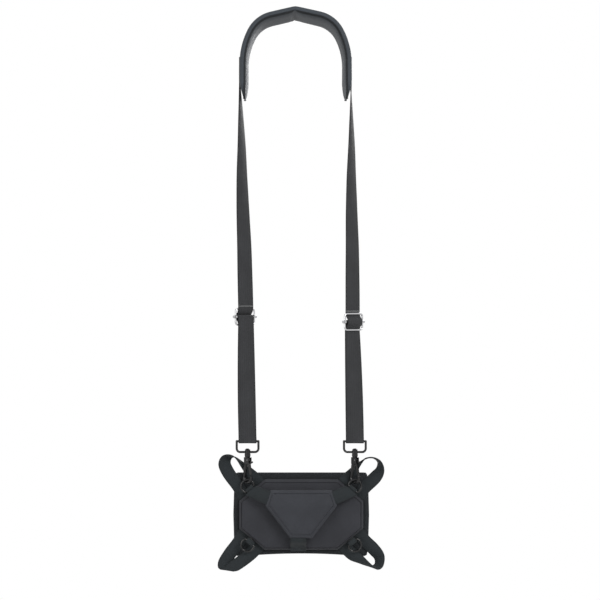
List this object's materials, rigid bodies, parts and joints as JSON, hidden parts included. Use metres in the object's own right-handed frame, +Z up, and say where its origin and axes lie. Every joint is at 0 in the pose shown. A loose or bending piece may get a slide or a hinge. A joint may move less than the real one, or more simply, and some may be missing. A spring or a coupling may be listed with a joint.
{
  "type": "neck strap device carrier",
  "caption": "Padded neck collar with adjustable webbing straps, wire sliders and swivel snap hooks carrying a padded panel with D-rings, corner loops and a hand pad.",
  "frame": {"origin": "neck seat, at the crown of the collar's inner face", "axes": "+Z up as it hangs, +X to the right seen from the panel's front, front towards -Y"},
  "size_m": [0.2333, 0.06, 0.7814],
  "materials": {
    "collar_fabric": "smooth close knit",
    "foam": "open foam",
    "binding": "ribbed tape",
    "panel_fabric": "matt coated weave",
    "board": "matt",
    "grip_lining": "fine grip pattern",
    "elastic": "ribbed elastic",
    "webbing": "herringbone webbing",
    "nickel": "bright nickel plate",
    "black_metal": "gloss black plate",
    "steel": "plain steel"
  },
  "bodies": {
    "root": {"collar_cover": "collar_fabric", "collar_foam": "foam", "collar_lining": "collar_fabric", "collar_front_binding": "binding", "collar_back_binding": "binding", "left_upper_strap": "webbing", "right_upper_strap": "webbing"},
    "left_slider": {"left_slider_frame": "nickel", "left_slider_bar": "nickel"},
    "left_webbing": {"left_lower_strap": "webbing"},
    "left_loop": {"left_hook_loop": "black_metal", "left_swivel_rivet": "black_metal"},
    "left_hook": {"left_hook_body": "black_metal", "left_gate_pin": "steel", "left_gate_spring": "steel"},
    "left_gate": {"left_hook_gate": "black_metal"},
    "right_slider": {"right_slider_frame": "nickel", "right_slider_bar": "nickel"},
    "right_webbing": {"right_lower_strap": "webbing"},
    "right_loop": {"right_hook_loop": "black_metal", "right_swivel_rivet": "black_metal"},
    "right_hook": {"right_hook_body": "black_metal", "right_gate_pin": "steel", "right_gate_spring": "steel"},
    "right_gate": {"right_hook_gate": "black_metal"},
    "top_left_ring": {"top_left_ring": "black_metal"},
    "top_right_ring": {"top_right_ring": "black_metal"},
    "bottom_left_ring": {"bottom_left_ring": "black_metal"},
    "bottom_right_ring": {"bottom_right_ring": "black_metal"},
    "panel": {"panel_front_cover": "panel_fabric", "panel_foam": "foam", "panel_board": "board", "panel_back_lining": "grip_lining", "panel_binding": "binding", "top_left_tab": "elastic", "top_right_tab": "elastic", "bottom_left_tab": "elastic", "bottom_right_tab": "elastic", "top_left_loop": "elastic", "top_right_loop": "elastic", "bottom_left_loop": "elastic", "bottom_right_loop": "elastic"},
    "hand_pad": {"hand_pad_cover": "panel_fabric", "hand_pad_foam": "foam", "hand_pad_lining": "collar_fabric", "hand_pad_foot_tab": "elastic", "left_hand_arm": "elastic", "right_hand_arm": "elastic"}
  },
  "joints": [
    {"name": "left_slider_slide", "type": "slide", "parent": "root", "child": "left_slider", "axis": [0, 0, -1], "range_m": [-0.2, 0.2], "deforming": ["left_upper_strap"]},
    {"name": "left_webbing_feed", "type": "slide", "parent": "left_slider", "child": "left_webbing", "axis": [0, 0, -1], "range_m": [-0.1, 0.1], "deforming": ["left_lower_strap"]},
    {"name": "left_loop_swing", "type": "hinge", "parent": "left_webbing", "child": "left_loop", "pos_m": [-0.06656, 0, -0.591], "axis": [1, 0, 0], "range_deg": [-40, 40]},
    {"name": "left_swivel", "type": "hinge", "parent": "left_loop", "child": "left_hook", "pos_m": [-0.06656, 0, -0.611], "axis": [0, 0, 1], "range_deg": [-20, 0]},
    {"name": "left_gate_open", "type": "hinge", "parent": "left_hook", "child": "left_gate", "pos_m": [-0.065, -0.00156, -0.6168], "axis": [0.7071, 0.7071, 0], "range_deg": [0, 16], "stiffness_Nm_per_rad": 0.02, "springref_deg": -11.46, "deforming": ["left_gate_spring"]},
    {"name": "right_slider_slide", "type": "slide", "parent": "root", "child": "right_slider", "axis": [0, 0, -1], "range_m": [-0.2, 0.2], "deforming": ["right_upper_strap"]},
    {"name": "right_webbing_feed", "type": "slide", "parent": "right_slider", "child": "right_webbing", "axis": [0, 0, -1], "range_m": [-0.1, 0.1], "deforming": ["right_lower_strap"]},
    {"name": "right_loop_swing", "type": "hinge", "parent": "right_webbing", "child": "right_loop", "pos_m": [0.08256, 0, -0.591], "axis": [1, 0, 0], "range_deg": [-40, 40]},
    {"name": "right_swivel", "type": "hinge", "parent": "right_loop", "child": "right_hook", "pos_m": [0.08256, 0, -0.611], "axis": [0, 0, 1], "range_deg": [-20, 0]},
    {"name": "right_gate_open", "type": "hinge", "parent": "right_hook", "child": "right_gate", "pos_m": [0.08411, -0.00156, -0.6168], "axis": [0.7071, 0.7071, 0], "range_deg": [0, 16], "stiffness_Nm_per_rad": 0.02, "springref_deg": -11.46, "deforming": ["right_gate_spring"]},
    {"name": "top_left_ring_rock", "type": "hinge", "parent": "left_loop", "child": "top_left_ring", "pos_m": [-0.06656, 0, -0.6445], "axis": [1, 0, 0], "range_deg": [-10, 2]},
    {"name": "top_right_ring_rock", "type": "hinge", "parent": "right_loop", "child": "top_right_ring", "pos_m": [0.08256, 0, -0.6445], "axis": [1, 0, 0], "range_deg": [-10, 2]},
    {"name": "panel_tilt", "type": "hinge", "parent": "top_left_ring", "child": "panel", "pos_m": [-0.06366, 0, -0.65694], "axis": [1, 0, 0], "range_deg": [-20, 0], "deforming": ["top_left_tab", "top_right_tab"]},
    {"name": "hand_pad_lift", "type": "slide", "parent": "panel", "child": "hand_pad", "axis": [0, -1, 0], "range_m": [0, 0.02], "deforming": ["left_hand_arm", "right_hand_arm", "hand_pad_foot_tab"]},
    {"name": "bottom_left_ring_flip", "type": "hinge", "parent": "panel", "child": "bottom_left_ring", "pos_m": [-0.06366, 0, -0.73181], "axis": [-0.7638, 0, 0.6455], "range_deg": [0, 110]},
    {"name": "bottom_right_ring_flip", "type": "hinge", "parent": "panel", "child": "bottom_right_ring", "pos_m": [0.07966, 0, -0.73181], "axis": [-0.7638, 0, -0.6455], "range_deg": [0, 110]}
  ],
  "couplings": [
    {"joint": "right_slider_slide", "follows": "left_slider_slide", "ratio": 1},
    {"joint": "left_webbing_feed", "follows": "left_slider_slide", "ratio": -0.5},
    {"joint": "right_webbing_feed", "follows": "left_slider_slide", "ratio": -0.5},
    {"joint": "right_loop_swing", "follows": "left_loop_swing", "ratio": 1},
    {"joint": "top_right_ring_rock", "follows": "top_left_ring_rock", "ratio": 1}
  ]
}
